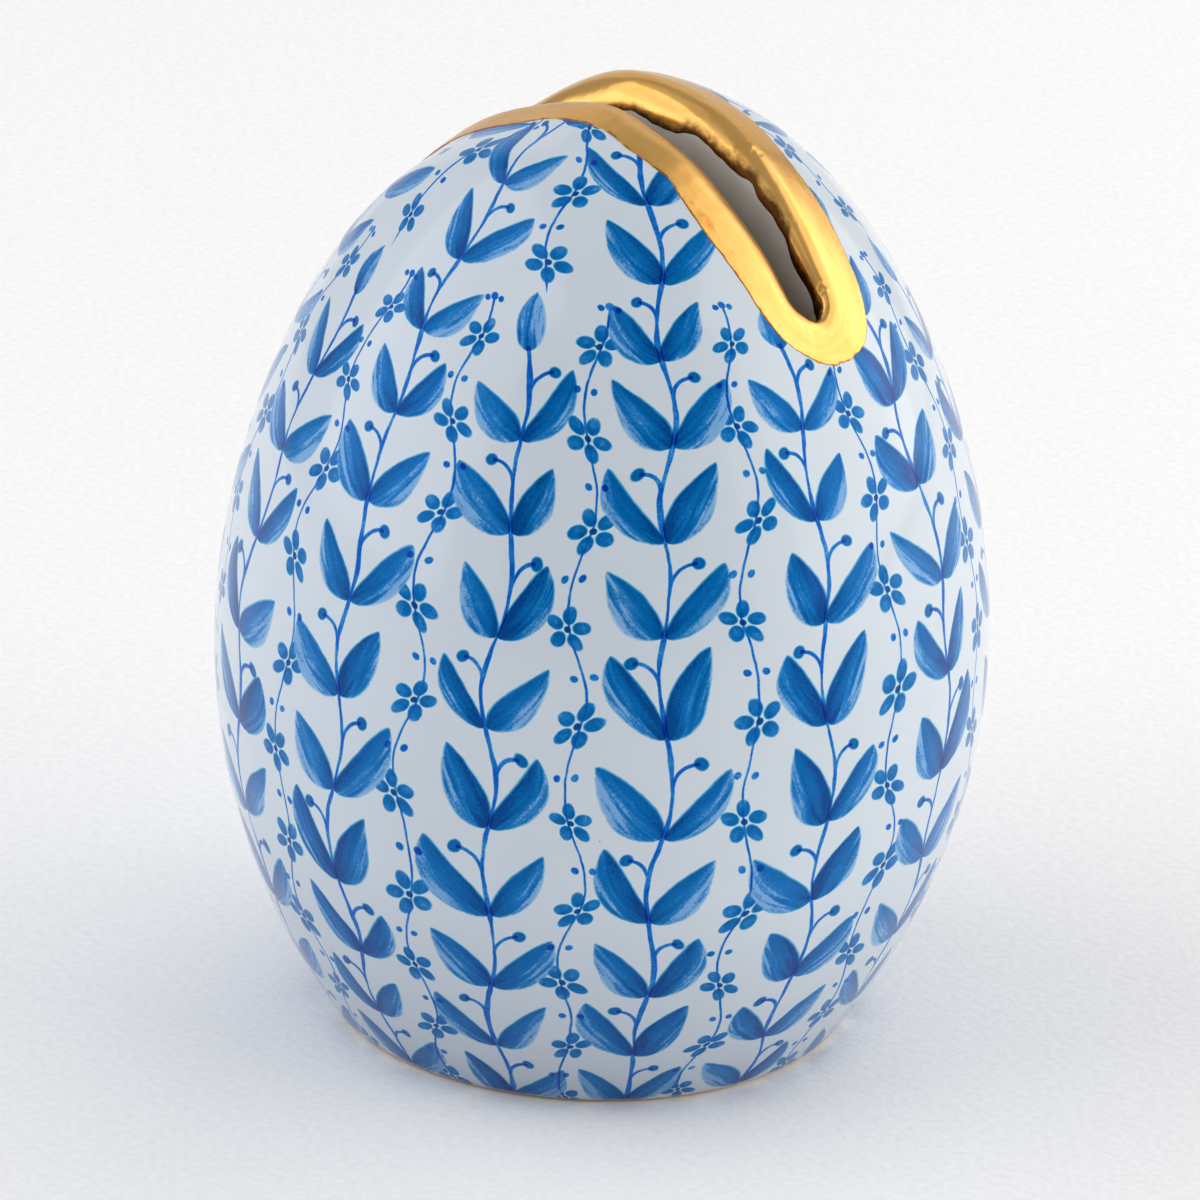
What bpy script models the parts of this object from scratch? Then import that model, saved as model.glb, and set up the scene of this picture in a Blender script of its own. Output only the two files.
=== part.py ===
"""Porcelain egg place card holder.

One slip-cast egg stands on a small flat foot. A straight slot runs over its
crown from end to end, with rounded lips, and holds a card by its lower edge.

Lengths are in metres and +Z is up. The origin is the centre of the foot. The
slot runs along X, so a card in it faces -Y.
"""

import math

import bmesh
import bpy

MM = 0.001

# Egg: half an ellipse, narrowed towards both ends
WIDEST_RADIUS = 17.0 * MM
CROWN_ABOVE_WIDEST = 25.6 * MM
FOOT_BELOW_WIDEST = 17.4 * MM
NARROW_BOTH_ENDS = 0.134
WIDEN_CROWN = 0.102

# Foot: the edge is rubbed round where it meets the table
FOOT_ROUNDING = 0.5 * MM

# Slot, seen from above
GAP_HALF_LENGTH = 11.4 * MM
GAP_HALF_WIDTH = 0.9 * MM
FLOOR_ABOVE_FOOT = 31.5 * MM
END_WALL_LEAN = 1.0 * MM
SIDE_WALL_LEAN = 0.1 * MM

# Lips: a quarter round between the egg's skin and the slot's wall
LIP_RADIUS_AT_ENDS = 0.8 * MM
LIP_RADIUS_AT_CROWN = 1.6 * MM
LIP_TURN = math.radians(62.0)

# Facets
TURNING_STEPS = 80
PROFILE_STEPS = 44
ROUNDING_STEPS = 3
SLOT_SIDE_STEPS = 16
SLOT_END_STEPS = 10
LIP_STEPS = 4

# How far the cutter reaches above the crown
CUTTER_CLEARANCE = 2.0 * MM

# Points closer than this are one point
WELD_DISTANCE = 0.005 * MM

GLAZE_COLOUR = (0.80, 0.83, 0.87, 1.0)
GLAZE_ROUGHNESS = 0.08


def egg_radius(height):
    """Radius of the egg at a height above the foot."""
    position = (height - FOOT_BELOW_WIDEST) / CROWN_ABOVE_WIDEST
    position = max(-1.0, min(1.0, position))
    taper = 1.0 - NARROW_BOTH_ENDS * position**2 + WIDEN_CROWN * position**3
    return WIDEST_RADIUS * math.sqrt(1.0 - position**2) * taper


def egg_height(radius):
    """Height above the foot of the upper skin, at a distance from the axis."""
    low = FOOT_BELOW_WIDEST
    high = FOOT_BELOW_WIDEST + CROWN_ABOVE_WIDEST
    for _ in range(50):
        middle = (low + high) / 2.0
        if egg_radius(middle) > radius:
            low = middle
        else:
            high = middle
    return low


def clear_scene():
    """Remove every object of the scene."""
    for item in list(bpy.data.objects):
        bpy.data.objects.remove(item, do_unlink=True)


def new_collection(name):
    """A collection of that name in the scene."""
    collection = bpy.data.collections.new(name)
    bpy.context.scene.collection.children.link(collection)
    return collection


def glazed_porcelain():
    """White porcelain under a clear glossy glaze."""
    material = bpy.data.materials.new("glazed_porcelain")
    material.use_nodes = True
    shader = material.node_tree.nodes["Principled BSDF"]
    shader.inputs["Base Color"].default_value = GLAZE_COLOUR
    shader.inputs["Roughness"].default_value = GLAZE_ROUGHNESS
    shader.inputs["Metallic"].default_value = 0.0
    material.diffuse_color = GLAZE_COLOUR
    return material


def egg_profile():
    """Half section of the egg in the XZ plane, from the crown to the foot."""
    lowest = math.acos(-(FOOT_BELOW_WIDEST - FOOT_ROUNDING) / CROWN_ABOVE_WIDEST)
    points = []
    for step in range(PROFILE_STEPS + 1):
        turn = lowest * step / PROFILE_STEPS
        height = FOOT_BELOW_WIDEST + CROWN_ABOVE_WIDEST * math.cos(turn)
        points.append((egg_radius(height), height))

    start = points[-1]
    corner = (egg_radius(0.0), 0.0)
    end = (corner[0] - FOOT_ROUNDING, 0.0)
    for step in range(1, ROUNDING_STEPS + 1):
        share = step / ROUNDING_STEPS
        weights = ((1.0 - share) ** 2, 2.0 * share * (1.0 - share), share**2)
        radius = weights[0] * start[0] + weights[1] * corner[0] + weights[2] * end[0]
        height = weights[0] * start[1] + weights[1] * corner[1] + weights[2] * end[1]
        points.append((radius, height))
    points.append((0.0, 0.0))
    return points


def turned_egg(collection):
    """The egg without its slot, turned from its profile."""
    profile = egg_profile()
    mesh = bpy.data.meshes.new("porcelain_egg")
    vertices = [(radius, 0.0, height) for radius, height in profile]
    edges = [(index, index + 1) for index in range(len(profile) - 1)]
    mesh.from_pydata(vertices, edges, [])
    egg = bpy.data.objects.new("porcelain_egg", mesh)
    collection.objects.link(egg)

    screw = egg.modifiers.new("turning", "SCREW")
    screw.axis = "Z"
    screw.angle = 2.0 * math.pi
    screw.steps = TURNING_STEPS
    screw.render_steps = TURNING_STEPS
    screw.use_merge_vertices = True
    screw.merge_threshold = WELD_DISTANCE
    screw.use_smooth_shade = True
    return egg


def gap_outline(half_length, half_width):
    """Points round a slot with half-round ends, each with its outward direction."""
    straight = half_length - half_width
    outline = []
    for side in (1.0, -1.0):
        for step in range(SLOT_SIDE_STEPS):
            along = side * straight * (2.0 * step / SLOT_SIDE_STEPS - 1.0)
            outline.append((along, -side * half_width, 0.0, -side))
        for step in range(SLOT_END_STEPS):
            turn = math.pi * (step / SLOT_END_STEPS - 0.5)
            out_x = side * math.cos(turn)
            out_y = side * math.sin(turn)
            along = side * straight + half_width * out_x
            outline.append((along, half_width * out_y, out_x, out_y))
    return outline


def lip_radius(along):
    """Radius of the lip's rounding at a place along the slot."""
    share = min(1.0, abs(along) / GAP_HALF_LENGTH)
    return LIP_RADIUS_AT_CROWN + (LIP_RADIUS_AT_ENDS - LIP_RADIUS_AT_CROWN) * share**2


def lip_ring(turn):
    """Ring of the lip where its rounding has turned that far out of the slot's wall."""
    ring = []
    for along, across, out_x, out_y in gap_outline(GAP_HALF_LENGTH, GAP_HALF_WIDTH):
        radius = lip_radius(along)
        outward = radius * (1.0 - math.cos(turn))
        drop = radius * (1.0 - math.sin(turn))
        x = along + outward * out_x
        y = across + outward * out_y
        ring.append((x, y, egg_height(math.hypot(x, y)) - drop))
    return ring


def slot_rings():
    """Rings of the slot's cutter, from its floor to above the crown."""
    floor = gap_outline(GAP_HALF_LENGTH - END_WALL_LEAN, GAP_HALF_WIDTH - SIDE_WALL_LEAN)
    rings = [[(x, y, FLOOR_ABOVE_FOOT) for x, y, _, _ in floor]]
    for step in range(LIP_STEPS + 1):
        rings.append(lip_ring(LIP_TURN * step / LIP_STEPS))
    top = FOOT_BELOW_WIDEST + CROWN_ABOVE_WIDEST + CUTTER_CLEARANCE
    rings.append([(x, y, top) for x, y, _ in rings[-1]])
    return rings


def slot_cutter(collection):
    """Closed loft through the slot's rings, which are unlike each other."""
    loft = bmesh.new()
    rings = [[loft.verts.new(point) for point in ring] for ring in slot_rings()]
    count = len(rings[0])
    for below, above in zip(rings, rings[1:]):
        for index in range(count):
            following = (index + 1) % count
            loft.faces.new((below[index], below[following], above[following], above[index]))
    loft.faces.new(list(reversed(rings[0])))
    loft.faces.new(rings[-1])
    bmesh.ops.recalc_face_normals(loft, faces=loft.faces)

    mesh = bpy.data.meshes.new("slot_cutter")
    loft.to_mesh(mesh)
    loft.free()
    cutter = bpy.data.objects.new("slot_cutter", mesh)
    collection.objects.link(cutter)
    cutter.hide_render = True
    cutter.display_type = "WIRE"
    return cutter


def cut(piece, cutter):
    """Take the cutter's volume out of the piece."""
    boolean = piece.modifiers.new("card_slot", "BOOLEAN")
    boolean.operation = "DIFFERENCE"
    boolean.solver = "EXACT"
    boolean.object = cutter


def main():
    """Build the place card holder."""
    clear_scene()
    parts = new_collection("egg_place_card_holder")
    cutters = new_collection("cutters")
    egg = turned_egg(parts)
    egg.data.materials.append(glazed_porcelain())
    cut(egg, slot_cutter(cutters))


main()
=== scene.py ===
"""Looks of the porcelain egg place card holder.

A slip-cast porcelain egg is painted by hand with leaf garlands in cobalt blue, under a clear
gloss glaze, and the lips of the slot over its crown are gilded. Lengths are in millimetres, and
METRE turns them into the scene's metres where a mesh, a light or the camera is made. The slot
runs along X, and its front lip is the one at -Y.
"""

from __future__ import annotations

import logging
import math
from collections.abc import Mapping, Sequence
from dataclasses import dataclass, field, replace
from enum import Enum

import bpy
import numpy as np
from mathutils import Matrix, Quaternion, Vector


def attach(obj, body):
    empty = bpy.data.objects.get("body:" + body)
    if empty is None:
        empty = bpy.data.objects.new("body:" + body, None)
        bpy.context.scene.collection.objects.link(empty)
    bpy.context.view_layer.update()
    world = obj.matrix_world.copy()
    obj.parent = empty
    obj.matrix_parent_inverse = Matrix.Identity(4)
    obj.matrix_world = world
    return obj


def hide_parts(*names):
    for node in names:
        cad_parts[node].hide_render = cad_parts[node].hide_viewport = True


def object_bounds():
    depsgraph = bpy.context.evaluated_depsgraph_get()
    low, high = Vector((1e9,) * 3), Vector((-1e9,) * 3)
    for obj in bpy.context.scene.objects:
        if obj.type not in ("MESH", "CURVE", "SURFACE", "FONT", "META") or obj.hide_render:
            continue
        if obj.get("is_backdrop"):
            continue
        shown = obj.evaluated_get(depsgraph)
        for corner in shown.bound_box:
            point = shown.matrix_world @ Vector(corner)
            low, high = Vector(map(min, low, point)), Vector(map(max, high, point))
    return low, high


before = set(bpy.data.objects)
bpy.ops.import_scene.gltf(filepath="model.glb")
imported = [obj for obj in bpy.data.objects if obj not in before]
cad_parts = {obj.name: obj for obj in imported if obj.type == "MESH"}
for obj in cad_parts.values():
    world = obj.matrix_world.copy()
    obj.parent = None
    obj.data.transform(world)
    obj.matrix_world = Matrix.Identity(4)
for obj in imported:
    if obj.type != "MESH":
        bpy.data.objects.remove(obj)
cad_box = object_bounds()

log = logging.getLogger("egg_place_card_holder")

Socket = bpy.types.NodeSocket
Pair = tuple[float, float]
Triple = tuple[float, float, float]
# What a RANGE takes its value between, and what these two turn into
Limits = tuple[float, float, float, float]

METRE = 0.001
FULL_TURN = 2.0 * math.pi


def linear_colour(code: str) -> tuple[float, float, float, float]:
    """Turn an sRGB hex colour into linear values for a shader.

    Args:
        code: The colour, such as "#c2cbd3".

    Returns:
        Red, green, blue and alpha.
    """
    shares = [int(code[place : place + 2], 16) / 255.0 for place in (1, 3, 5)]
    red, green, blue = (
        share / 12.92 if share <= 0.04045 else ((share + 0.055) / 1.055) ** 2.4 for share in shares
    )
    return red, green, blue, 1.0


class Kind(Enum):
    """Shader nodes that the finishes are made of."""

    SHADER = "ShaderNodeBsdfPrincipled"
    OUTPUT = "ShaderNodeOutputMaterial"
    PLACE = "ShaderNodeTexCoord"
    ATTRIBUTE = "ShaderNodeAttribute"
    VECTOR = "ShaderNodeVectorMath"
    TURN = "ShaderNodeVectorRotate"
    SPLIT = "ShaderNodeSeparateXYZ"
    JOIN = "ShaderNodeCombineXYZ"
    CHANCE = "ShaderNodeTexWhiteNoise"
    CLOUD = "ShaderNodeTexNoise"
    CELLS = "ShaderNodeTexVoronoi"
    RANGE = "ShaderNodeMapRange"
    RAMP = "ShaderNodeValToRGB"
    MIX = "ShaderNodeMix"
    DENSITY = "ShaderNodeGamma"
    BUMP = "ShaderNodeBump"


class Sum(Enum):
    """Sums that a Math node works out."""

    PLUS = "ADD"
    MINUS = "SUBTRACT"
    TIMES = "MULTIPLY"
    TIMES_PLUS = "MULTIPLY_ADD"
    OVER = "DIVIDE"
    POWER = "POWER"
    SIZE = "ABSOLUTE"
    SIGN = "SIGN"
    LEAST = "MINIMUM"
    MOST = "MAXIMUM"
    WHOLE = "FLOOR"
    PART = "FRACT"
    WRAP = "FLOORED_MODULO"
    SINE = "SINE"
    HEADING = "ARCTAN2"
    ABOVE = "GREATER_THAN"
    SAME = "COMPARE"


# Sockets of a Mix node that mixes colours
MIX_SHARE, MIX_UNDER, MIX_OVER, MIX_RESULT = 0, 6, 7, 2


@dataclass
class NodeSheet:
    """The nodes of one material."""

    name: str
    material: bpy.types.Material = field(init=False, repr=False)

    def __post_init__(self) -> None:
        """Make the empty material."""
        self.material = bpy.data.materials.new(self.name)
        self.material.use_nodes = True
        self.material.node_tree.nodes.clear()

    def add(
        self,
        kind: Kind | Sum,
        inputs: Sequence | Mapping = (),
        output: int | str = 0,
        stops: Sequence[tuple[float, str]] = (),
        **settings: object,
    ) -> Socket:
        """Add a node with its settings and links.

        Args:
            kind: The node, or the sum that a Math node works out.
            inputs: Values, sRGB hex colours or sockets, in order, or by an input's name or number.
            output: The output that is wanted, by number or name.
            stops: Places and colours of a colour ramp, in rising order.
            settings: The node's own settings.

        Returns:
            The wanted output, or the node's first input where it has no output.
        """
        tree = self.material.node_tree
        node = tree.nodes.new("ShaderNodeMath" if isinstance(kind, Sum) else kind.value)
        if isinstance(kind, Sum):
            node.operation = kind.value
        for setting, value in settings.items():
            setattr(node, setting, value)
        for place, (share, code) in enumerate(stops):
            if place > 1:
                node.color_ramp.elements.new(share)
            node.color_ramp.elements[place].position = share
            node.color_ramp.elements[place].color = linear_colour(code)
        pairs = inputs.items() if isinstance(inputs, Mapping) else enumerate(inputs)
        for key, value in pairs:
            if isinstance(value, Socket):
                tree.links.new(value, node.inputs[key])
            else:
                plain = linear_colour(value) if isinstance(value, str) else value
                node.inputs[key].default_value = plain
        return node.outputs[output] if node.outputs else node.inputs[0]


@dataclass(frozen=True)
class EggForm:
    """The egg's turned form: half an ellipse, narrowed towards both ends."""

    widest_radius: float = 17.0
    crown_above_widest: float = 25.6
    foot_below_widest: float = 17.4
    narrow_both_ends: float = 0.134
    widen_crown: float = 0.102
    foot_rounding: float = 0.5
    meridian_points: int = 20001

    def radius(self, height: np.ndarray) -> np.ndarray:
        """Work out how wide the egg is.

        Args:
            height: Heights above the foot.

        Returns:
            The radius at each.
        """
        place = np.clip((height - self.foot_below_widest) / self.crown_above_widest, -1.0, 1.0)
        taper = 1.0 - self.narrow_both_ends * place**2 + self.widen_crown * place**3
        return self.widest_radius * np.sqrt(1.0 - place**2) * taper

    def meridian(self) -> tuple[np.ndarray, np.ndarray]:
        """Follow the skin in small steps from the crown down to the foot.

        Returns:
            The radii and the heights.
        """
        lowest = math.acos(-self.foot_below_widest / self.crown_above_widest)
        turns = np.linspace(0.0, lowest, self.meridian_points)
        heights = self.foot_below_widest + self.crown_above_widest * np.cos(turns)
        return self.radius(heights), heights

    def height(self, radius: np.ndarray) -> np.ndarray:
        """Work out how high the upper skin is.

        Args:
            radius: Distances from the axis.

        Returns:
            The height at each.
        """
        radii, heights = self.meridian()
        upper = heights >= self.foot_below_widest
        return np.interp(radius, radii[upper], heights[upper])


@dataclass(frozen=True)
class HandWobble:
    """Unevenness of an edge worked by hand, as a few waves round it."""

    size: float
    waves: tuple[int, ...]
    seed: int

    def values(self, count: int) -> np.ndarray:
        """Offsets at evenly spaced points round the edge.

        Args:
            count: How many points there are.

        Returns:
            One offset for each point, mostly within the size.
        """
        draw = np.random.default_rng(self.seed)
        turns = np.linspace(0.0, FULL_TURN, count, endpoint=False)
        total = np.zeros(count)
        for wave in self.waves:
            total += draw.uniform(0.5, 1.0) * np.sin(wave * turns + draw.uniform(0.0, FULL_TURN))
        return self.size * total / math.sqrt(len(self.waves))


def eased(values: np.ndarray, start: float, end: float) -> np.ndarray:
    """A share that eases from 0 at the start to 1 at the end."""
    share = np.clip((values - start) / (end - start), 0.0, 1.0)
    return share * share * (3.0 - 2.0 * share)


# The keys of a loop round the slot count 384 places, as the porcelain's own rings do
LOOP_PLACES = 384


def round_the_loop(keys: Sequence[Pair], count: int, ease: float) -> np.ndarray:
    """Values at evenly spaced points of a closed loop, eased between keys.

    Args:
        keys: Places round the loop and the value at each.
        count: How many points there are.
        ease: Over how many places a change of slope is eased.

    Returns:
        One value for each point.
    """
    places, values = zip(*keys)
    line = np.interp(np.arange(count) * LOOP_PLACES / count, places, values, period=LOOP_PLACES)
    reach = max(1, round(ease * count / LOOP_PLACES))
    window = np.hanning(2 * reach + 3)[1:-1]
    overlapped = np.concatenate((line[-reach:], line, line[:reach]))
    return np.convolve(overlapped, window / window.sum(), "valid")


def circle(turns: np.ndarray) -> np.ndarray:
    """Points of a circle of radius 1 seen from above, at turns from +X."""
    return np.column_stack((np.cos(turns), np.sin(turns)))


def direction(azimuth: float, elevation: float) -> Vector:
    """Find the direction of something that faces the egg.

    Args:
        azimuth: Degrees from the front to the right.
        elevation: Degrees above the level.

    Returns:
        The direction away from the egg.
    """
    turn, rise = math.radians(azimuth), math.radians(elevation)
    level = math.cos(rise)
    return Vector((math.sin(turn) * level, -math.cos(turn) * level, math.sin(rise)))


def level_ring(plan: np.ndarray, height: float) -> np.ndarray:
    """A level ring over a line seen from above."""
    return np.column_stack((plan, np.full(len(plan), height)))


def rounded_corner(
    start: np.ndarray, corner: np.ndarray, end: np.ndarray, steps: int
) -> list[np.ndarray]:
    """Rings round a corner from start to end, both included."""
    shares = np.linspace(0.0, 1.0, steps)
    return [(1 - s) ** 2 * start + 2 * s * (1 - s) * corner + s**2 * end for s in shares]


@dataclass(frozen=True)
class CardSlot:
    """The slot over the crown: a straight gap with half-round ends and rounded lips."""

    form: EggForm
    half_length: float = 11.4
    half_width: float = 0.9
    floor_height: float = 31.5
    end_lean: float = 1.0
    side_lean: float = 0.1
    floor_fillet: float = 0.45
    fillet_rings: int = 5
    lip_at_ends: float = 0.8
    lip_at_crown: float = 1.6
    side_points: int = 132
    end_points: int = 60
    gap_wobble: HandWobble = HandWobble(0.045, (3, 4, 7, 11, 16), 11)
    lip_wobble: HandWobble = HandWobble(0.07, (2, 5, 9, 14), 12)
    # The sponge that smoothed the cut has flattened the skin round the slot's far half, by this
    # much, and between these measures along the slot, across it and out from the axis
    sponged_flat: float = 0.67
    sponged_slant: float = 0.8
    sponged_along: Pair = (-0.3, 5.5)
    sponged_across: Pair = (3.6, 6.8)
    sponged_out: Pair = (10.8, 13.5)

    @property
    def points(self) -> int:
        """Points in one ring round the slot."""
        return 2 * (self.side_points + self.end_points)

    def outline(self, inset: float, end_inset: float) -> tuple[np.ndarray, np.ndarray]:
        """Points round the gap seen from above, anticlockwise.

        Args:
            inset: How far the sides lie inside the gap's own.
            end_inset: How far the ends do.

        Returns:
            The points, and the outward direction at each.
        """
        half_width = self.half_width - inset
        straight = self.half_length - end_inset - half_width
        centres, outward = [], []
        for side in (1.0, -1.0):
            along = side * straight * (2.0 * np.arange(self.side_points) / self.side_points - 1.0)
            centres.append(np.column_stack((along, np.zeros(self.side_points))))
            outward.append(np.tile((0.0, -side), (self.side_points, 1)))
            turns = math.pi * (np.arange(self.end_points) / self.end_points - 0.5)
            centres.append(np.tile((side * straight, 0.0), (self.end_points, 1)))
            outward.append(side * circle(turns))
        directions = np.concatenate(outward)
        return np.concatenate(centres) + half_width * directions, directions

    def edge(self) -> tuple[np.ndarray, np.ndarray, np.ndarray]:
        """Follow the gap's outline as it is cut by hand.

        Returns:
            Its points seen from above, and the outward direction and the lip's radius at each.
        """
        line, outward = self.outline(0.0, 0.0)
        share = np.minimum(1.0, np.abs(line[:, 0]) / self.half_length)
        radius = self.lip_at_crown + (self.lip_at_ends - self.lip_at_crown) * share**2
        line = line + self.gap_wobble.values(self.points)[:, None] * outward
        return line, outward, radius * (1.0 + self.lip_wobble.values(self.points))

    def skin_height(self, plan: np.ndarray) -> np.ndarray:
        """Work out how high the skin is, with its flattening round the slot.

        Args:
            plan: Places seen from above.

        Returns:
            The height at each.
        """
        along, across = -plan[..., 0], -plan[..., 1]
        from_axis = np.hypot(along, across)
        flat = eased(along + self.sponged_slant * across, *self.sponged_along)
        flat *= 1.0 - eased(np.abs(across), *self.sponged_across)
        flat *= 1.0 - eased(from_axis, *self.sponged_out)
        return self.form.height(from_axis) - self.sponged_flat * flat

    def skin_ring(self, plan: np.ndarray, drop: np.ndarray | float) -> np.ndarray:
        """Ring over a line seen from above, a drop below the egg's skin."""
        return np.column_stack((plan, self.skin_height(plan) - drop))

    def wall_rings(self, steps: int) -> list[np.ndarray]:
        """Make rings from the floor's rounded edge up to the start of the lip.

        Args:
            steps: How many rings the straight wall has.

        Returns:
            The rings, in rising order.
        """
        line, _, radius = self.edge()
        top = self.skin_ring(line, radius)
        plans = [
            self.outline(self.side_lean + inset, self.end_lean + inset)[0]
            for inset in (self.floor_fillet, 0.0)
        ]
        inner, corner = (level_ring(plan, self.floor_height) for plan in plans)
        rise = top - corner
        end = corner + rise * (self.floor_fillet / np.linalg.norm(rise, axis=1))[:, None]
        rings = rounded_corner(inner, corner, end, self.fillet_rings)
        rings += [end + (top - end) * share for share in np.linspace(0.0, 1.0, steps + 1)[1:]]
        return rings

    def lip_rings(self, steps: int) -> list[np.ndarray]:
        """Make rings over the lip.

        Args:
            steps: How many rings there are.

        Returns:
            The rings, from the top of the wall to the egg's skin.
        """
        line, outward, radius = self.edge()
        rings = []
        for turn in np.linspace(0.0, math.pi / 2.0, steps + 1)[1:]:
            plan = line + (radius * (1.0 - math.cos(turn)))[:, None] * outward
            rings.append(self.skin_ring(plan, radius * (1.0 - math.sin(turn))))
        return rings


def ring_faces(rings: int, count: int) -> list[tuple[int, ...]]:
    """List the faces between neighbouring rings.

    Args:
        rings: How many rings there are.
        count: How many points each has.

    Returns:
        The faces, as point numbers.
    """
    faces = []
    for ring in range(rings - 1):
        for point in range(count):
            following = (point + 1) % count
            here, there = ring * count, (ring + 1) * count
            faces.append((here + point, there + point, there + following, here + following))
    return faces


def make_piece(
    name: str, points: np.ndarray, faces: list[tuple[int, ...]], material: bpy.types.Material
) -> bpy.types.Object:
    """Make a smooth-shaded mesh object.

    Args:
        name: The piece's name.
        points: Its points in millimetres.
        faces: Its faces, as point numbers.
        material: Its finish.

    Returns:
        The object, which sits at the origin.
    """
    mesh = bpy.data.meshes.new(name)
    mesh.from_pydata((points * METRE).tolist(), [], faces)
    mesh.polygons.foreach_set("use_smooth", [True] * len(mesh.polygons))
    mesh.materials.append(material)
    mesh.update()
    piece = bpy.data.objects.new(name, mesh)
    bpy.context.scene.collection.objects.link(piece)
    return piece


def write_layer(piece: bpy.types.Object, name: str, values: np.ndarray) -> None:
    """Store a measure of each point of a piece, for its finish to read.

    Args:
        piece: The piece.
        name: The measure's name.
        values: One number or one vector for each point.
    """
    kind, key = ("FLOAT", "value") if values.ndim == 1 else ("FLOAT_VECTOR", "vector")
    layer = piece.data.attributes.new(name, kind, "POINT")
    layer.data.foreach_set(key, values.astype(np.float32).ravel())


@dataclass(frozen=True)
class GarlandGrid:
    """Columns and rows that the painter divides the skin into.

    Motifs are drawn at full size round the widest part and smaller towards both ends. Above the
    shoulder every other column has ended in a bud.
    """

    form: EggForm
    columns: int = 14
    row: float = 4.5
    shoulder_radius: float = 10.2
    smallest_scale: float = 0.3
    # Near the crown the motifs are larger by this much, from the one radius to the other
    crown_scale: float = 0.2
    crown_radii: Pair = (11.0, 9.0)

    def table(self) -> tuple[np.ndarray, np.ndarray, np.ndarray, int]:
        """Work out how the rows run up the skin.

        Returns:
            Rising heights, the row number with its fraction at each, the motif's scale at each, and
            the row in which the shoulder starts.
        """
        radii, heights = (values[::-1] for values in self.form.meridian())
        share = radii / self.form.widest_radius
        upper = heights > self.form.foot_below_widest
        outer, inner = self.crown_radii
        near_crown = np.clip((outer - radii) / (outer - inner), 0.0, 1.0) * upper
        scales = self.smallest_scale + self.crown_scale * near_crown
        scales += (1.0 - self.smallest_scale) * share
        lengths = np.hypot(np.diff(radii), np.diff(heights))
        middles = (scales[1:] + scales[:-1]) / 2.0
        phases = np.concatenate(([0.0], np.cumsum(lengths / (self.row * middles))))
        shoulder = np.interp(-self.shoulder_radius, -radii[upper], phases[upper])
        row = round(float(shoulder))
        return heights, phases * row / shoulder, scales, row


@dataclass(frozen=True)
class Spot:
    """Where a point of the skin lies in the garlands, as sockets. Lengths are in motif units."""

    sheet: NodeSheet
    place: Socket
    scale: Socket
    phase: Socket
    row: Socket
    column: Socket
    border: Socket
    border_start: float
    up: Socket
    from_stem: Socket
    from_border: Socket
    last_row: Socket
    bud: Socket


@dataclass(frozen=True)
class Stroke:
    """Where brushwork lies and how pale it is, as sockets from 0 to 1."""

    cover: Socket
    tone: Socket


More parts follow.
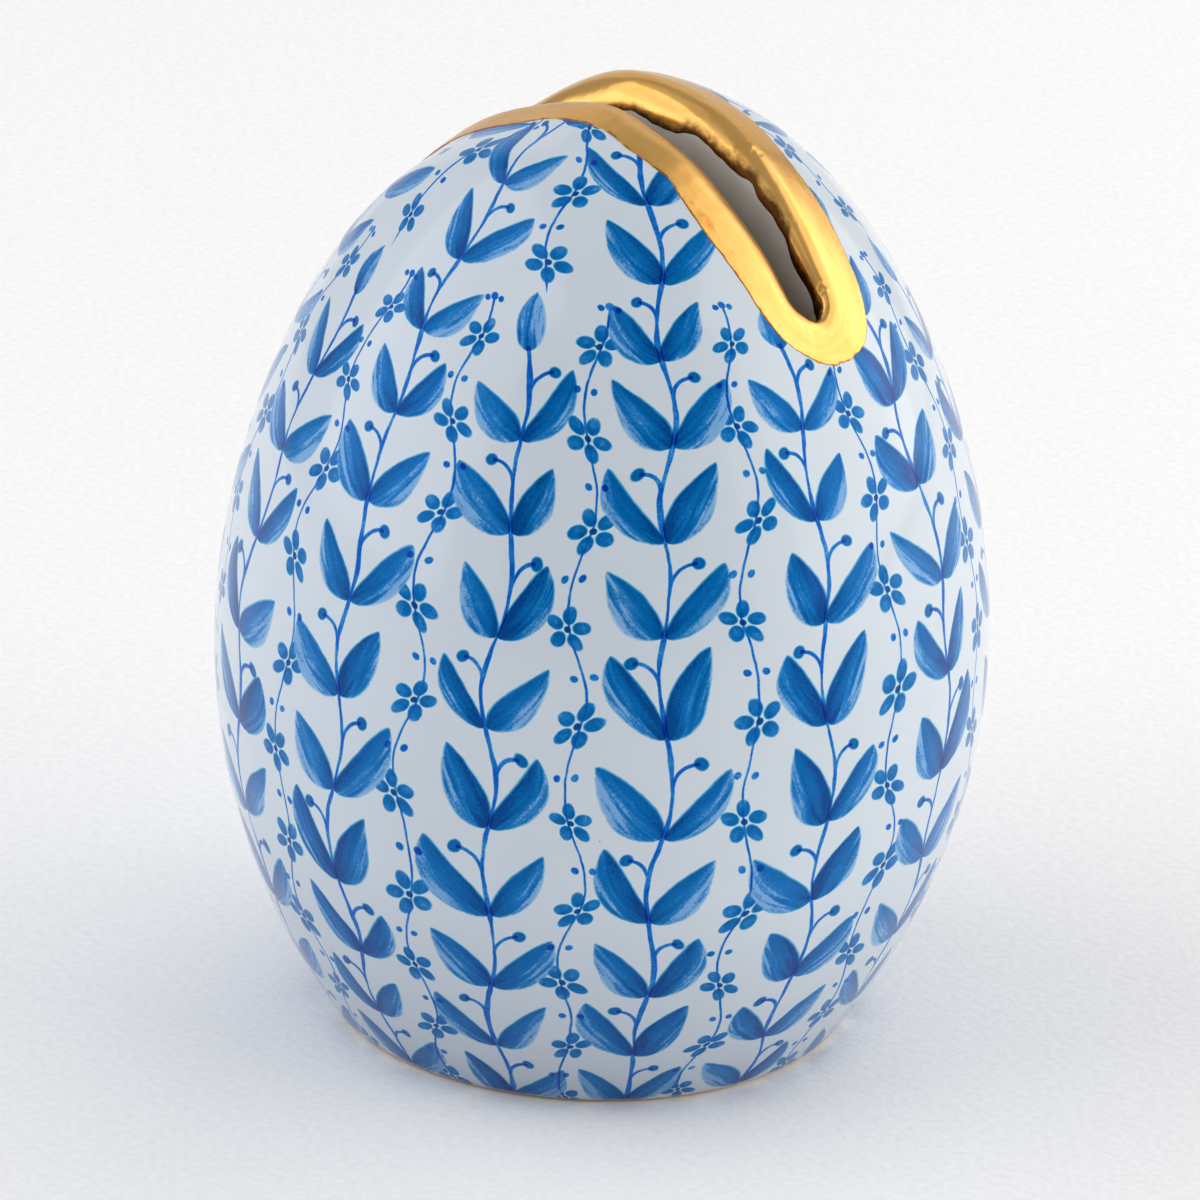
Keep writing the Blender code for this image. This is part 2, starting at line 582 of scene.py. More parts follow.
@dataclass(frozen=True)
class LeafGarland:
    """Brushwork of the garlands, in motif units, which are 1 mm at the widest.

    A garland is a wavy stem with pairs of leaves, tendrils and berries. A fine vine with
    five-petal blossoms runs between two garlands.
    """

    grid: GarlandGrid
    # Wave length, swing and detail of the drift and of the tremble of a hand without a stencil
    drift: Triple = (8.0, 1.6, 1.0)
    tremble: Triple = (1.2, 0.16, 2.0)
    # Half the columns end at the shoulder, the vines' a part of a row before the stems'
    vine_lead: float = 0.2
    upper_shift: float = 0.25
    stem_swing: float = -0.3
    vine_swing: float = 0.45
    # How steeply a stroke runs out at its ends, and how soft the edge of sunk-in paint is
    end_slope: float = 8.0
    leaf_edge: float = 0.1
    line_edge: float = 0.035
    vine_edge: float = 0.03
    petal_edge: float = 0.16
    berry_edge: float = 0.07
    dot_edge: float = 0.04
    # Middle and spread of what chance varies from leaf to leaf
    leaf_angle: Pair = (math.radians(36.0), math.radians(20.0))
    leaf_length: Pair = (4.1, 0.9)
    leaf_half_width: Pair = (0.83, 0.3)
    bud_shorter: float = 1.2
    leaf_base_aside: float = 0.12
    leaf_base_above: float = 0.3
    leaf_curve: float = 1.3
    # Powers of a leaf's width towards its base and its tip, and what makes up for them
    leaf_profile: Triple = (0.62, 0.8, 2.65)
    # How fine the brush's streaks are along and across a leaf, and how unlike from leaf to leaf
    streaks: Triple = (1.6, 4.2, 40.0)
    # The brush runs dry between these places across a leaf, which strengthens its streaks
    dry_across: Limits = (-0.4, 0.6, 0.7, 2.2)
    # Paint pools between these places along a leaf, which darkens it
    pool_along: Limits = (0.0, 0.45, 0.42, 0.0)
    leaf_tone: float = 0.36
    tone_across: float = 0.46
    tone_by_chance: float = 0.4
    stem_half_width: float = 0.095
    # How the brush presses on a stem: by how much, and its cloud's scale per mm and detail
    stem_press: float = 0.2
    press: Pair = (0.6, 1.0)
    last_stem_end: float = 0.6
    tendril_radius: float = 1.15
    tendril_half_width: float = 0.075
    tendril_height: float = 2.55
    tendril_past_top: float = 0.05
    berry_aside: float = 0.1
    berry_radius: float = 0.29
    # What a berry's tone changes by outwards, and its tone in the middle
    berry_tone: Pair = (-0.8, 0.45)
    vine_half_width: float = 0.05
    vine_end: float = 3.2
    vine_end_reach: float = 3.6
    # Place aside and above, and radius, of the dots in pairs and of the one on a vine's end
    pair_dot: Triple = (0.42, 3.1, 0.17)
    end_dot: Triple = (0.0, 3.22, 0.21)
    petals: int = 5
    petal_reach: float = 0.68
    petal_half_length: float = 0.42
    petal_half_width: float = 0.31
    blossom_dot: float = 0.15
    blossom_shift: float = 0.3
    blossom_aside: float = 0.3
    blossom_spread: float = 0.2
    blossom_chance: float = 7.0
    # A petal's grain: scale per mm and detail, how strong it is, and the tone that it starts from
    petal_grain: Pair = (2.5, 3.0)
    petal_tone: Pair = (0.9, 0.12)
    # What the tone changes by at a petal's edge and towards its end, and in the blossom's dot
    petal_changes: Triple = (-0.15, 0.5, -0.6)

    def spot(self, sheet: NodeSheet) -> Spot:
        """Find a point's place in the garlands, as drawn by a hand that drifts and trembles.

        Args:
            sheet: The nodes of the finish.

        Returns:
            The place.
        """
        add = sheet.add
        *_, shoulder_row = self.grid.table()
        here = add(Kind.PLACE, output="Object")
        place = add(Kind.VECTOR, {0: here, "Scale": 1.0 / METRE}, operation="SCALE")
        moved = place
        for wave_length, swing, detail in (self.drift, self.tremble):
            cloud = {"Vector": place, "Scale": 1.0 / wave_length, "Detail": detail}
            centred = (add(Kind.CLOUD, cloud, "Color"), (0.5, 0.5, 0.5))
            centred = add(Kind.VECTOR, centred, operation="SUBTRACT")
            swung = (centred, (swing, swing, swing), moved)
            moved = add(Kind.VECTOR, swung, operation="MULTIPLY_ADD")

        x = add(Kind.SPLIT, (moved,), "X")
        y, z = x.node.outputs["Y"], x.node.outputs["Z"]
        scale, steady_phase = (
            add(Kind.ATTRIBUTE, output="Fac", attribute_name=name)
            for name in ("motif_scale", "row_phase")
        )
        drift = add(Sum.MINUS, (z, add(Kind.SPLIT, (place,), "Z")))
        rows_drifted = add(Sum.OVER, (add(Sum.OVER, (drift, scale)), self.grid.row))
        phase = add(Sum.PLUS, (steady_phase, rows_drifted))
        row = add(Sum.WHOLE, (phase,))

        heading = add(Sum.OVER, (add(Sum.HEADING, (y, x)), FULL_TURN))
        radius = self.distance(sheet, x, y)
        girth = add(Sum.OVER, (add(Sum.TIMES, (radius, FULL_TURN)), scale))
        wave = add(Sum.SINE, (add(Sum.TIMES, (phase, math.pi)),))
        lines = []
        border_start = shoulder_row - self.vine_lead
        stems_and_vines = (
            (shoulder_row, 0.0, self.stem_swing),
            (border_start, 0.5, self.vine_swing),
        )
        for start, shift, swing in stems_and_vines:
            upper = add(Sum.ABOVE, (phase, start))
            columns = add(Sum.TIMES_PLUS, (upper, -self.grid.columns / 2, self.grid.columns))
            shifted = add(Sum.TIMES_PLUS, (upper, self.upper_shift, shift))
            count = add(Sum.TIMES_PLUS, (heading, columns, shifted))
            number = add(Sum.WRAP, (add(Sum.WHOLE, (count,)), columns))
            lines.append(add(Sum.TIMES, (number, add(Sum.OVER, (self.grid.columns, columns)))))
            from_middle = add(Sum.MINUS, (add(Sum.PART, (count,)), 0.5))
            aside = add(Sum.TIMES, (from_middle, add(Sum.OVER, (girth, columns))))
            lines.append(add(Sum.TIMES_PLUS, (wave, swing, aside)))

        column, from_stem, border, from_border = lines
        last_row = add(Sum.SAME, (row, shoulder_row - 1.0, 0.5))
        bud = add(Sum.TIMES, (last_row, add(Sum.WRAP, (column, 2.0))))
        up = add(Sum.TIMES, (add(Sum.PART, (phase,)), self.grid.row))
        places = (place, scale, phase, row, column, border, border_start)
        return Spot(sheet, *places, up, from_stem, from_border, last_row, bud)

    def distance(self, sheet: NodeSheet, across: Socket, above: Socket) -> Socket:
        """How far a place lies from a middle, by its two distances from it."""
        flat = sheet.add(Kind.JOIN, (across, above))
        return sheet.add(Kind.VECTOR, (flat,), "Value", operation="LENGTH")

    def drawn(self, sheet: NodeSheet, reach: Socket, edge: float) -> Socket:
        """Cover of a shape, whose reach is above 0 inside it, with a soft edge of sunk-in paint."""
        return sheet.add(Kind.RANGE, (reach, -edge, edge), interpolation_type="SMOOTHSTEP")

    def leaves(self, spot: Spot) -> Stroke:
        """Draw a pair of leaves, or the upright bud that ends a garland, each one loaded stroke.

        Args:
            spot: The place in the garlands.

        Returns:
            The leaves.
        """
        add = spot.sheet.add
        open_share = add(Sum.MINUS, (1.0, spot.bud))
        side = add(Sum.TIMES, (add(Sum.SIGN, (spot.from_stem,)), open_share))
        number = add(Kind.JOIN, (spot.column, spot.row, side))
        first = add(Kind.SPLIT, (add(Kind.CHANCE, {"Vector": number}, "Color"),))
        chances = [first] + [first.node.outputs[name] for name in ("Y", "Z")]
        sizes = (self.leaf_angle, self.leaf_length, self.leaf_half_width)
        angle, length, half_width = (
            add(Sum.TIMES_PLUS, (chance, spread, middle - spread / 2.0))
            for chance, (middle, spread) in zip(chances, sizes)
        )
        angle = add(Sum.TIMES, (angle, open_share))
        length = add(Sum.TIMES_PLUS, (spot.bud, -self.bud_shorter, length))

        aside = add(Sum.SIZE, (spot.from_stem,))
        outward = add(Sum.TIMES_PLUS, (open_share, -self.leaf_base_aside, aside))
        from_base = (outward, add(Sum.MINUS, (spot.up, self.leaf_base_above)))
        turned = {"Vector": add(Kind.JOIN, from_base), "Angle": angle}
        sideways = add(Kind.SPLIT, (add(Kind.TURN, turned, rotation_type="Z_AXIS"),))
        along = add(Sum.OVER, (sideways.node.outputs["Y"], length))
        share = add(Kind.RANGE, (along,))
        rest = add(Sum.MINUS, (1.0, share))
        curve = add(Sum.TIMES, (open_share, -self.leaf_curve))
        bulge = add(Sum.TIMES, (add(Sum.TIMES, (share, rest)), curve))
        across = add(Sum.PLUS, (sideways, bulge))
        to_base, to_tip, made_up = self.leaf_profile
        widening, narrowing = add(Sum.POWER, (share, to_base)), add(Sum.POWER, (rest, to_tip))
        profile = add(Sum.TIMES, (add(Sum.TIMES, (widening, narrowing)), made_up))
        width = add(Sum.TIMES, (profile, half_width))
        beyond = add(Sum.SIZE, (add(Sum.MINUS, (along, share)),))
        reach = add(Sum.MINUS, (width, add(Sum.SIZE, (across,))))
        reach = add(Sum.TIMES_PLUS, (beyond, -self.end_slope, reach))
        cover = self.drawn(spot.sheet, reach, self.leaf_edge)

        fine_along, fine_across, unlike = self.streaks
        hairs = (add(Sum.TIMES, (along, fine_along)), across, add(Sum.TIMES, (chances[2], unlike)))
        hairs = (add(Kind.JOIN, hairs), (1.0, fine_across, 1.0))
        hairs = add(Kind.VECTOR, hairs, operation="MULTIPLY")
        streaks = add(Kind.CLOUD, {"Vector": hairs, "Scale": 1.0, "Detail": 3.0})
        ratio = add(Sum.OVER, (across, add(Sum.PLUS, (width, self.leaf_edge / 2.0))))
        dry = add(Kind.RANGE, (ratio, *self.dry_across))
        tone = add(Sum.TIMES_PLUS, (add(Sum.MINUS, (streaks, 0.5)), dry, self.leaf_tone))
        for part, paler in ((ratio, self.tone_across), (first, self.tone_by_chance)):
            tone = add(Sum.TIMES_PLUS, (part, paler, tone))
        return Stroke(cover, add(Sum.MINUS, (tone, add(Kind.RANGE, (share, *self.pool_along)))))

    def stems(self, spot: Spot) -> Socket:
        """Draw the garlands' stems with a pointed brush that presses and lifts.

        Args:
            spot: The place in the garlands.

        Returns:
            Their cover.
        """
        add = spot.sheet.add
        scale, detail = self.press
        press = add(Kind.CLOUD, {"Vector": spot.place, "Scale": scale, "Detail": detail})
        lifted = self.stem_half_width - self.stem_press / 2.0
        half_width = add(Sum.TIMES_PLUS, (press, self.stem_press, lifted))
        half_width = add(Sum.OVER, (half_width, spot.scale))
        reach = add(Sum.MINUS, (half_width, add(Sum.SIZE, (spot.from_stem,))))
        ended = add(Sum.TIMES, (spot.bud, add(Sum.ABOVE, (spot.up, self.last_stem_end))))
        cover = self.drawn(spot.sheet, reach, self.line_edge)
        return add(Sum.TIMES, (cover, add(Sum.MINUS, (1.0, ended))))

    def tendrils(self, spot: Spot) -> tuple[Socket, Stroke]:
        """Draw the tendrils, which curl off the stem to alternate sides, and their berries.

        Args:
            spot: The place in the garlands.

        Returns:
            The tendrils' cover, and the berries.
        """
        sheet, add = spot.sheet, spot.sheet.add
        hand = add(Sum.TIMES_PLUS, (add(Sum.WRAP, (spot.row, 2.0)), -2.0, 1.0))
        across = add(Sum.TIMES, (spot.from_stem, hand))
        across = add(Sum.MINUS, (across, self.tendril_radius))
        above = add(Sum.MINUS, (spot.up, self.tendril_height))
        from_line = add(Sum.MINUS, (self.distance(sheet, across, above), self.tendril_radius))
        half_width = add(Sum.OVER, (self.tendril_half_width, spot.scale))
        reach = add(Sum.MINUS, (half_width, add(Sum.SIZE, (from_line,))))
        rising = add(Sum.ABOVE, (self.tendril_past_top, across))
        curl = add(Sum.TIMES, (add(Sum.ABOVE, (above, 0.0)), rising))
        leafy = add(Sum.MINUS, (1.0, spot.bud))
        curl = add(Sum.TIMES, (curl, leafy))
        line = add(Sum.TIMES, (self.drawn(sheet, reach, self.line_edge), curl))
        across = add(Sum.MINUS, (across, self.berry_aside))
        distance = self.distance(sheet, across, add(Sum.MINUS, (above, self.tendril_radius)))
        reach = add(Sum.MINUS, (self.berry_radius, distance))
        berry = add(Sum.TIMES, (self.drawn(sheet, reach, self.berry_edge), leafy))
        return line, Stroke(berry, add(Sum.TIMES_PLUS, (distance, *self.berry_tone)))

    def vines(self, spot: Spot) -> Socket:
        """Draw the fine vines between two garlands, with pairs of dots and a dot on each end.

        Args:
            spot: The place in the garlands.

        Returns:
            Their cover.
        """
        sheet, add = spot.sheet, spot.sheet.add
        off_line = add(Sum.SIZE, (spot.from_border,))
        from_start = add(Sum.SIZE, (add(Sum.MINUS, (spot.phase, spot.border_start)),))
        thinner = add(Sum.LEAST, (add(Sum.TIMES, (from_start, self.end_slope)), 1.0))
        half_width = add(Sum.TIMES, (thinner, self.vine_half_width))
        reach = add(Sum.MINUS, (add(Sum.OVER, (half_width, spot.scale)), off_line))
        near_end = add(Sum.ABOVE, (self.vine_end_reach, spot.up))
        near_end = add(Sum.TIMES, (spot.last_row, near_end))
        beyond_end = add(Sum.TIMES, (near_end, add(Sum.ABOVE, (spot.up, self.vine_end))))
        cover = self.drawn(sheet, reach, self.vine_edge)
        cover = add(Sum.TIMES, (cover, add(Sum.MINUS, (1.0, beyond_end))))
        for (aside, above, radius), share in ((self.pair_dot, 1.0), (self.end_dot, near_end)):
            aside, above = add(Sum.MINUS, (off_line, aside)), add(Sum.MINUS, (spot.up, above))
            reach = add(Sum.MINUS, (radius, self.distance(sheet, aside, above)))
            dot = add(Sum.TIMES, (self.drawn(sheet, reach, self.dot_edge), share))
            cover = add(Sum.MOST, (cover, dot))
        return cover

    def blossoms(self, spot: Spot) -> Stroke:
        """Draw the five-petal blossoms, each petal one short dab and the middle one dot.

        Args:
            spot: The place in the garlands.

        Returns:
            The blossoms.
        """
        sheet, add = spot.sheet, spot.sheet.add
        shifted = add(Sum.PLUS, (spot.phase, self.blossom_shift))
        number = add(Kind.JOIN, (spot.border, add(Sum.WHOLE, (shifted,)), self.blossom_chance))
        first = add(Kind.SPLIT, (add(Kind.CHANCE, {"Vector": number}, "Color"),))
        second, third = (first.node.outputs[name] for name in ("Y", "Z"))
        from_middle = add(Sum.MINUS, (add(Sum.PART, (shifted,)), 0.5))
        above = add(Sum.TIMES, (from_middle, self.grid.row))
        aside = add(Sum.MINUS, (spot.from_border, self.blossom_aside / 2.0))
        aside = add(Sum.TIMES_PLUS, (second, self.blossom_aside, aside))
        spread = self.blossom_spread
        smaller = add(Sum.TIMES_PLUS, (third, -spread, 1.0 + spread / 2.0))
        distance = add(Sum.TIMES, (self.distance(sheet, aside, above), smaller))
        heading = add(Sum.HEADING, (aside, above))
        heading = add(Sum.TIMES_PLUS, (heading, self.petals / FULL_TURN, first))
        fold = add(Sum.MINUS, (add(Sum.PART, (heading,)), 0.5))
        fold = add(Sum.TIMES, (fold, FULL_TURN / self.petals))
        folded = {"Vector": add(Kind.JOIN, (distance, 0.0)), "Angle": fold}
        folded = (add(Kind.TURN, folded, rotation_type="Z_AXIS"), (self.petal_reach, 0.0, 0.0))
        from_petal = add(Kind.VECTOR, folded, operation="SUBTRACT")
        shaped = (from_petal, (1.0 / self.petal_half_length, 1.0 / self.petal_half_width, 0.0))
        shaped = add(Kind.VECTOR, shaped, operation="MULTIPLY")
        depth = add(Kind.VECTOR, (shaped,), "Value", operation="LENGTH")
        petals = self.drawn(sheet, add(Sum.MINUS, (1.0, depth)), self.petal_edge)
        dot = self.drawn(sheet, add(Sum.MINUS, (self.blossom_dot, distance)), self.line_edge)
        scale, detail = self.petal_grain
        grain = add(Kind.CLOUD, {"Vector": spot.place, "Scale": scale, "Detail": detail})
        tone = add(Sum.TIMES_PLUS, (grain, *self.petal_tone))
        parts = (depth, add(Kind.SPLIT, (from_petal,)), dot)
        for part, change in zip(parts, self.petal_changes):
            tone = add(Sum.TIMES_PLUS, (part, change, tone))
        return Stroke(add(Sum.MOST, (petals, dot)), tone)


@dataclass(frozen=True)
class PaintedPorcelain:
    """Slip-cast porcelain, painted in cobalt on the biscuit and fired under a clear gloss glaze.

    The eye gets a cool, very smooth white with sharp reflections, paint that lies flat under the
    glaze with pools at the ends of its strokes, and a thin bare rim of biscuit at the foot. The
    paint's colours are what it lets through of the white, so two strokes are darker where they
    cross.
    """

    garland: LeafGarland
    white: str = "#ced8e2"
    shaded_white: str = "#cad4de"
    # Darker white towards the foot: painted shade
    low_painted_shade: str = "#b1bac4"
    line: str = "#1070d4"
    # What a stroke lets through, from its darkest to its palest
    cobalt: tuple[tuple[float, str], ...] = (
        (0.0, "#045199"), (0.2, "#056bb2"), (0.5, "#0a80c8"), (0.75, "#3c97da"), (1.0, "#9bcbf5"),
    )
    kiln_speck: str = "#2b3a57"
    biscuit: str = "#c6b49b"
    # The slot's unglazed wall, greyed as painted shade, and the browner colour further down:
    # painted shade and a painted reflection of the gold
    shaded_slot_wall: str = "#bbb9b4"
    deep_slot_shade_and_reflection: str = "#7c6246"
    shine: str = "#ffffff"
    shine_over_paint: str = "#4492ff"
    roughness: float = 0.1
    wall_roughness: float = 0.6
    biscuit_roughness: float = 0.75
    ior: float = 1.5
    # Scale per mm and detail of its clouds
    mottle: Pair = (1.0 / 5.0, 3.0)
    ink: Pair = (1.1, 2.0)
    grain: Pair = (9.0, 1.0)
    rub: Pair = (0.8, 3.0)
    ripple: Pair = (1.0 / 2.2, 1.0)
    ripple_strength: float = 0.02
    # Heights between which the white darkens towards the foot, as painted shade, and the ragged
    # upper edge of the bare rim
    low_shade_heights: Pair = (12.0, 0.0)
    rim_height: float = 0.06
    rim_edge: float = 0.08
    rim_ragged: float = 0.3
    # How much ink gets onto a line, by its cloud, and how grainy lines and fills are
    inked: Limits = (0.3, 0.6, 0.6, 1.05)
    line_grain: float = 0.9
    fill_grain: float = 0.5
    vine_under_blossom: float = 0.8
    # Depths in the slot between which the unglazed wall begins, and between which painted shade and
    # a painted reflection of the gold darken and brown it further down
    wall_depths: Pair = (0.15, 0.35)
    slot_shade_depths: Pair = (2.5, 7.0)
    slot_shade_grain: float = 0.5
    slot_shade_rub: float = 1.6
    specks_apart: float = 2.4
    largest_speck: float = 0.055
    speck_spread: float = 0.1
    speck_edge: float = 0.004

    def material(self) -> bpy.types.Material:
        """Make the finish.

        Returns:
            The material.
        """
        sheet = NodeSheet("painted porcelain")
        add = sheet.add
        spot = self.garland.spot(sheet)
        on_skin, depth = (
            add(Kind.ATTRIBUTE, output="Fac", attribute_name=name)
            for name in ("skin", "slot_depth")
        )
        mottle, ink, grain, rub, ripple = (
            add(Kind.CLOUD, {"Vector": spot.place, "Scale": scale, "Detail": detail})
            for scale, detail in (self.mottle, self.ink, self.grain, self.rub, self.ripple)
        )
        uneven = add(Sum.MINUS, (grain, 0.5))
        height = add(Kind.SPLIT, (spot.place,), "Z")

        colour = self.white
        # The white darkens towards the foot, as painted shade
        low = add(Kind.RANGE, (height, *self.low_shade_heights))
        for share, coat in ((mottle, self.shaded_white), (low, self.low_painted_shade)):
            mixed = {MIX_SHARE: share, MIX_UNDER: colour, MIX_OVER: coat}
            colour = add(Kind.MIX, mixed, MIX_RESULT, data_type="RGBA")

        fills = self.garland.blossoms(spot)
        tendrils, berries = self.garland.tendrils(spot)
        lines = add(Sum.MOST, (self.garland.stems(spot), tendrils))
        between = add(Sum.TIMES_PLUS, (fills.cover, -self.vine_under_blossom, 1.0))
        lines = add(Sum.MOST, (lines, add(Sum.TIMES, (self.garland.vines(spot), between))))
        strength = (uneven, self.line_grain, add(Kind.RANGE, (ink, *self.inked)))
        strength = add(Sum.TIMES_PLUS, strength)
        density = add(Sum.TIMES, (add(Sum.TIMES, (lines, strength)), on_skin))
        colour = self.washed(sheet, colour, self.line, density)

        for stroke in (berries, self.garland.leaves(spot)):
            change = add(Sum.MINUS, (stroke.tone, fills.tone))
            tone = add(Sum.TIMES_PLUS, (change, stroke.cover, fills.tone))
            fills = Stroke(add(Sum.MOST, (fills.cover, stroke.cover)), tone)
        tone = add(Sum.TIMES_PLUS, (uneven, self.fill_grain, fills.tone))
        cobalt = add(Kind.RAMP, (tone,), stops=self.cobalt)
        colour = self.washed(sheet, colour, cobalt, add(Sum.TIMES, (fills.cover, on_skin)))
        painted = add(Sum.TIMES, (add(Sum.MOST, (fills.cover, lines)), on_skin))
        tint = {MIX_SHARE: painted, MIX_UNDER: self.shine, MIX_OVER: self.shine_over_paint}
        tint = add(Kind.MIX, tint, MIX_RESULT, data_type="RGBA")

        above_rim = add(Sum.MINUS, (height, self.rim_height))
        ragged = add(Sum.TIMES_PLUS, (rub, -self.rim_ragged, above_rim))
        bare = add(Kind.RANGE, (ragged, -self.rim_edge, self.rim_edge, 1.0, 0.0))
        # Further down the slot the wall is painted darker and browner: painted shade and a painted
        # reflection of the gold
        slot_shade = add(Sum.TIMES_PLUS, (rub, self.slot_shade_rub, depth))
        slot_shade = add(Sum.TIMES_PLUS, (grain, self.slot_shade_grain, slot_shade))
        deep = add(Kind.RANGE, (slot_shade, *self.slot_shade_depths))
        inside = add(Kind.RANGE, (depth, *self.wall_depths))
        wall = {MIX_SHARE: deep, MIX_UNDER: self.shaded_slot_wall, MIX_OVER: self.deep_slot_shade_and_reflection}
        wall = add(Kind.MIX, wall, MIX_RESULT, data_type="RGBA")
        specks = add(Sum.TIMES, (self.kiln_specks(spot), on_skin))
        for share, coat in ((specks, self.kiln_speck), (bare, self.biscuit), (inside, wall)):
            mixed = {MIX_SHARE: share, MIX_UNDER: colour, MIX_OVER: coat}
            colour = add(Kind.MIX, mixed, MIX_RESULT, data_type="RGBA")
        unglazed = add(Sum.MOST, (bare, add(Sum.TIMES, (inside, self.wall_roughness))))
        rougher = self.biscuit_roughness - self.roughness

        bump = {"Strength": self.ripple_strength, "Distance": METRE, "Height": ripple}
        looks = {
            "Base Color": colour,
            "Roughness": add(Sum.TIMES_PLUS, (unglazed, rougher, self.roughness)),
            "IOR": self.ior,
            "Specular Tint": tint,
            "Normal": add(Kind.BUMP, bump),
        }
        add(Kind.OUTPUT, (add(Kind.SHADER, looks),))
        return sheet.material

    def washed(
        self, sheet: NodeSheet, under: Socket, paint: Socket | str, density: Socket
    ) -> Socket:
        """See a colour through paint, which takes out more light the thicker it lies.

        Args:
            sheet: The nodes of the finish.
            under: The colour under the paint.
            paint: What the paint lets through where its density is 1.
            density: How thick the paint lies.

        Returns:
            The colour that is seen.
        """
        let_through = sheet.add(Kind.DENSITY, (paint, density))
        both = {MIX_SHARE: 1.0, MIX_UNDER: under, MIX_OVER: let_through}
        return sheet.add(Kind.MIX, both, MIX_RESULT, data_type="RGBA", blend_type="MULTIPLY")

    def kiln_specks(self, spot: Spot) -> Socket:
        """Scatter the few dark specks that the kiln leaves, up to 0.1 mm across.

        Args:
            spot: The place in the garlands.

        Returns:
            Their cover.
        """
        add = spot.sheet.add
        cell = {"Vector": spot.place, "Scale": 1.0 / self.specks_apart}
        cell = add(Kind.CELLS, cell, "Distance")
        chance = add(Kind.SPLIT, (cell.node.outputs["Color"],))
        spread, least = self.speck_spread, self.largest_speck - self.speck_spread
        radius = (chance, spread / self.specks_apart, least / self.specks_apart)
        inside = add(Sum.MINUS, (add(Sum.TIMES_PLUS, radius), cell))
        return add(Kind.RANGE, (inside, -self.speck_edge, self.speck_edge))


